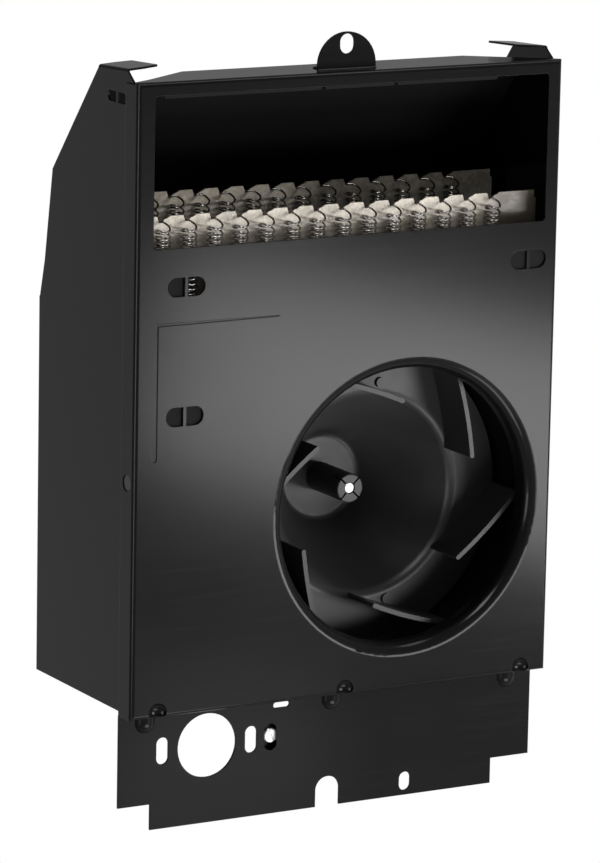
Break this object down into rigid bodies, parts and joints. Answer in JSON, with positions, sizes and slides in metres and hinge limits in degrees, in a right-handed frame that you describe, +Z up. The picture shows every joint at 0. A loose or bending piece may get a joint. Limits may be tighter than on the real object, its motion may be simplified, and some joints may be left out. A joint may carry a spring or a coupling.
{
  "type": "wall-mounted fan heater",
  "caption": "Recessed wall fan heater insert: folded black steel box with an outlet over wire coils, a round inlet with a blower wheel and motor, and a set-back control plate.",
  "frame": {"origin": "middle of the hanging ear's slot, half way through the ear's sheet", "axes": "+X to the right seen from the front, +Y into the wall, +Z up"},
  "size_m": [0.197, 0.1026, 0.3242],
  "materials": {
    "casing_paint": "semi-gloss black",
    "deflector_paint": "satin black",
    "galvanised": "dull spangled zinc",
    "wheel_plastic": "satin black",
    "mica": "satin, layered",
    "front_wire": "drawn wire, warm grey",
    "rear_wire": "drawn wire, shaded",
    "bright_steel": "bright ground",
    "screw_steel": "bright zinc",
    "rivet_steel": "painted over",
    "lamination": "oiled steel sheet",
    "die_cast": "as cast",
    "bronze": "sintered bronze",
    "copper": "enamelled copper",
    "bobbin_plastic": "natural moulding",
    "terminal_metal": "tinned",
    "switch_plastic": "moulded phenolic"
  },
  "bodies": {
    "casing": {"front_panel": "casing_paint", "left_side_panel": "casing_paint", "right_side_panel": "casing_paint", "back_panel": "casing_paint", "bottom_panel": "casing_paint", "air_deflector": "deflector_paint", "blower_scroll": "deflector_paint", "left_element_bracket": "deflector_paint", "right_element_bracket": "deflector_paint", "limit_bracket": "deflector_paint", "motor_mount": "galvanised", "front_element_card": "mica", "rear_element_card": "mica", "front_heating_coil": "front_wire", "rear_heating_coil": "rear_wire", "ground_screw": "bright_steel", "back_panel_screws": "screw_steel", "motor_mount_screws": "screw_steel", "motor_bolts": "screw_steel", "motor_nuts": "screw_steel", "limit_screws": "screw_steel", "side_rivets": "rivet_steel", "terminal_rivets": "rivet_steel", "stator_stack": "lamination", "front_bearing_bracket": "die_cast", "rear_bearing_bracket": "die_cast", "front_bearing": "bronze", "rear_bearing": "bronze", "field_winding": "copper", "shading_rings": "copper", "coil_bobbin": "bobbin_plastic", "motor_terminals": "terminal_metal", "element_terminals": "terminal_metal", "limit_terminals": "terminal_metal", "limit_switch": "switch_plastic"},
    "fan": {"blower_wheel": "wheel_plastic", "motor_shaft": "bright_steel", "motor_rotor": "lamination", "rotor_end_rings": "die_cast", "thrust_washers": "bright_steel"}
  },
  "joints": [
    {"name": "fan_spin", "type": "hinge", "parent": "casing", "child": "fan", "pos_m": [0.0275, 0.05225, -0.19345], "axis": [0, 1, 0], "continuous": true}
  ]
}
